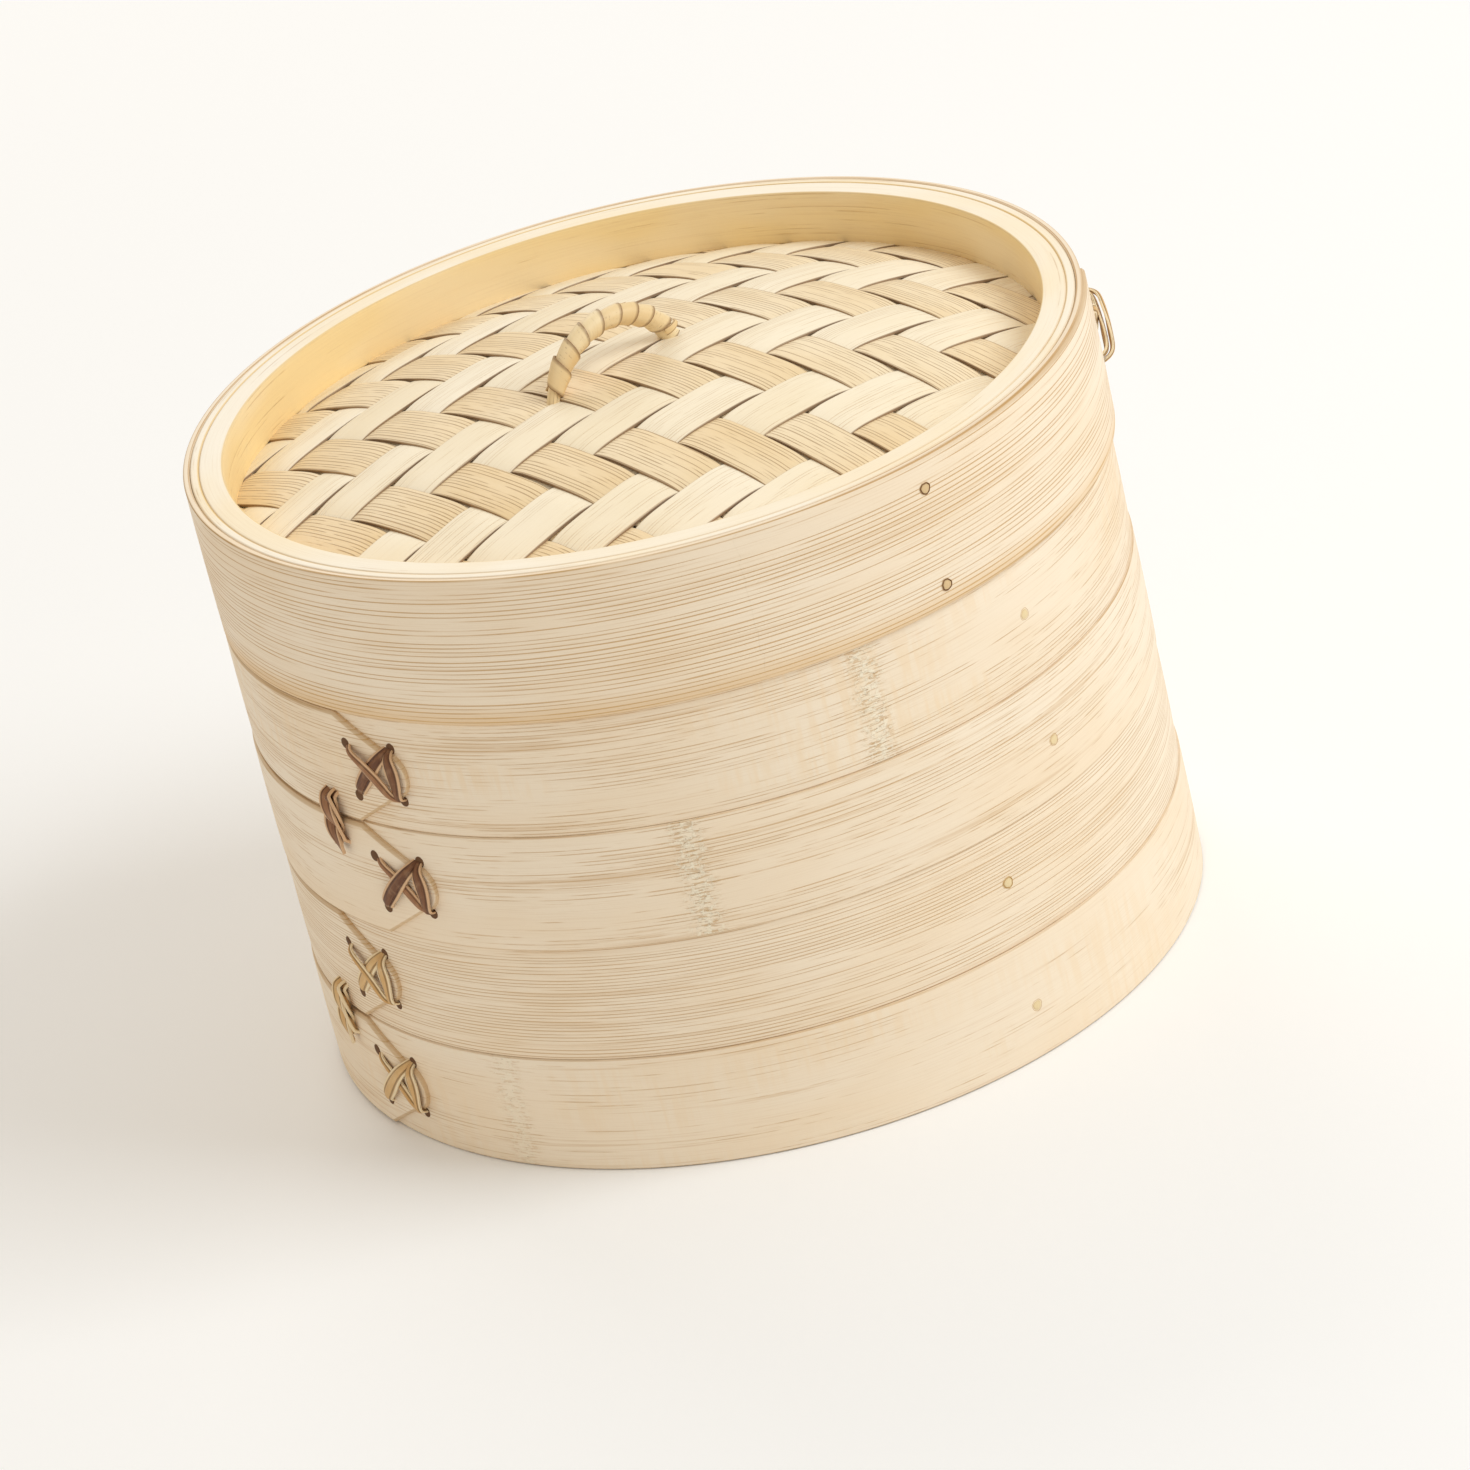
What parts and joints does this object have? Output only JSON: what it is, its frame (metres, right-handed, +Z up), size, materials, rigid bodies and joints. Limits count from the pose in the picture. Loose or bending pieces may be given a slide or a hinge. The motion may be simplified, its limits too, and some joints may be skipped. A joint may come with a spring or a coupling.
{
  "type": "bamboo steamer basket",
  "caption": "Round stacking bamboo steamer: slatted-floor tiers with laced outer bands, under a lifting lid with a woven domed mat and an arched handle.",
  "frame": {"origin": "centre of the plane that the lower tier stands on", "axes": "+Z up along the axis of the hoops; -Y is the front, where the tiers' lapped bands show at the left; the handle runs 35 degrees from +X"},
  "size_m": [0.2061, 0.203, 0.1605],
  "materials": {
    "outer_bamboo": "pale cream split bamboo with fine golden fibre lines",
    "lining_bamboo": "smooth honey-coloured planed bamboo",
    "rim_bamboo": "smooth pale planed bamboo with end-grain ply lines",
    "floor_bamboo": "planed bamboo slats with straight grain",
    "warp_bamboo": "woven tan bamboo strip with brown fibre lines",
    "weft_bamboo": "woven pale bamboo strip with a silky face",
    "handle_bamboo": "cane wrapped with a shaved bamboo strip",
    "light_tie": "golden split cane tie",
    "dark_tie": "dark brown split cane tie with paler edges",
    "peg_bamboo": "bamboo peg, end grain showing"
  },
  "bodies": {
    "lower_tier": {"lower_tier_top_band": "outer_bamboo", "lower_tier_base_band": "outer_bamboo", "lower_tier_wall_hoop": "lining_bamboo", "lower_tier_floor_ring": "lining_bamboo", "lower_tier_top_lacing": "light_tie", "lower_tier_base_lacing": "light_tie", "lower_tier_seam_knot": "light_tie", "lower_tier_pegs": "peg_bamboo", "lower_tier_slat_1": "floor_bamboo", "lower_tier_slat_2": "floor_bamboo", "lower_tier_slat_3": "floor_bamboo", "lower_tier_slat_4": "floor_bamboo", "lower_tier_slat_5": "floor_bamboo", "lower_tier_slat_6": "floor_bamboo", "lower_tier_slat_7": "floor_bamboo", "lower_tier_slat_8": "floor_bamboo", "lower_tier_slat_9": "floor_bamboo", "lower_tier_cross_bar_1": "floor_bamboo", "lower_tier_cross_bar_2": "floor_bamboo"},
    "upper_tier": {"upper_tier_top_band": "outer_bamboo", "upper_tier_base_band": "outer_bamboo", "upper_tier_wall_hoop": "lining_bamboo", "upper_tier_floor_ring": "lining_bamboo", "upper_tier_top_lacing": "dark_tie", "upper_tier_base_lacing": "dark_tie", "upper_tier_seam_knot": "dark_tie", "upper_tier_pegs": "peg_bamboo", "upper_tier_slat_1": "floor_bamboo", "upper_tier_slat_2": "floor_bamboo", "upper_tier_slat_3": "floor_bamboo", "upper_tier_slat_4": "floor_bamboo", "upper_tier_slat_5": "floor_bamboo", "upper_tier_slat_6": "floor_bamboo", "upper_tier_slat_7": "floor_bamboo", "upper_tier_slat_8": "floor_bamboo", "upper_tier_slat_9": "floor_bamboo", "upper_tier_cross_bar_1": "floor_bamboo", "upper_tier_cross_bar_2": "floor_bamboo"},
    "lid": {"lid_outer_band": "outer_bamboo", "lid_middle_hoop": "lining_bamboo", "lid_top_hoop": "rim_bamboo", "lid_bottom_hoop": "lining_bamboo", "lid_warp_strips": "warp_bamboo", "lid_weft_strips": "weft_bamboo", "handle_core": "handle_bamboo", "handle_wrap": "handle_bamboo", "handle_keeper": "floor_bamboo", "lid_lacing": "light_tie", "lid_pegs": "peg_bamboo"}
  },
  "joints": [
    {"name": "upper_tier_lift", "type": "slide", "parent": "lower_tier", "child": "upper_tier", "axis": [0, 0, 1], "range_m": [0, 0.1]},
    {"name": "lid_lift", "type": "slide", "parent": "upper_tier", "child": "lid", "axis": [0, 0, 1], "range_m": [0, 0.1]}
  ]
}
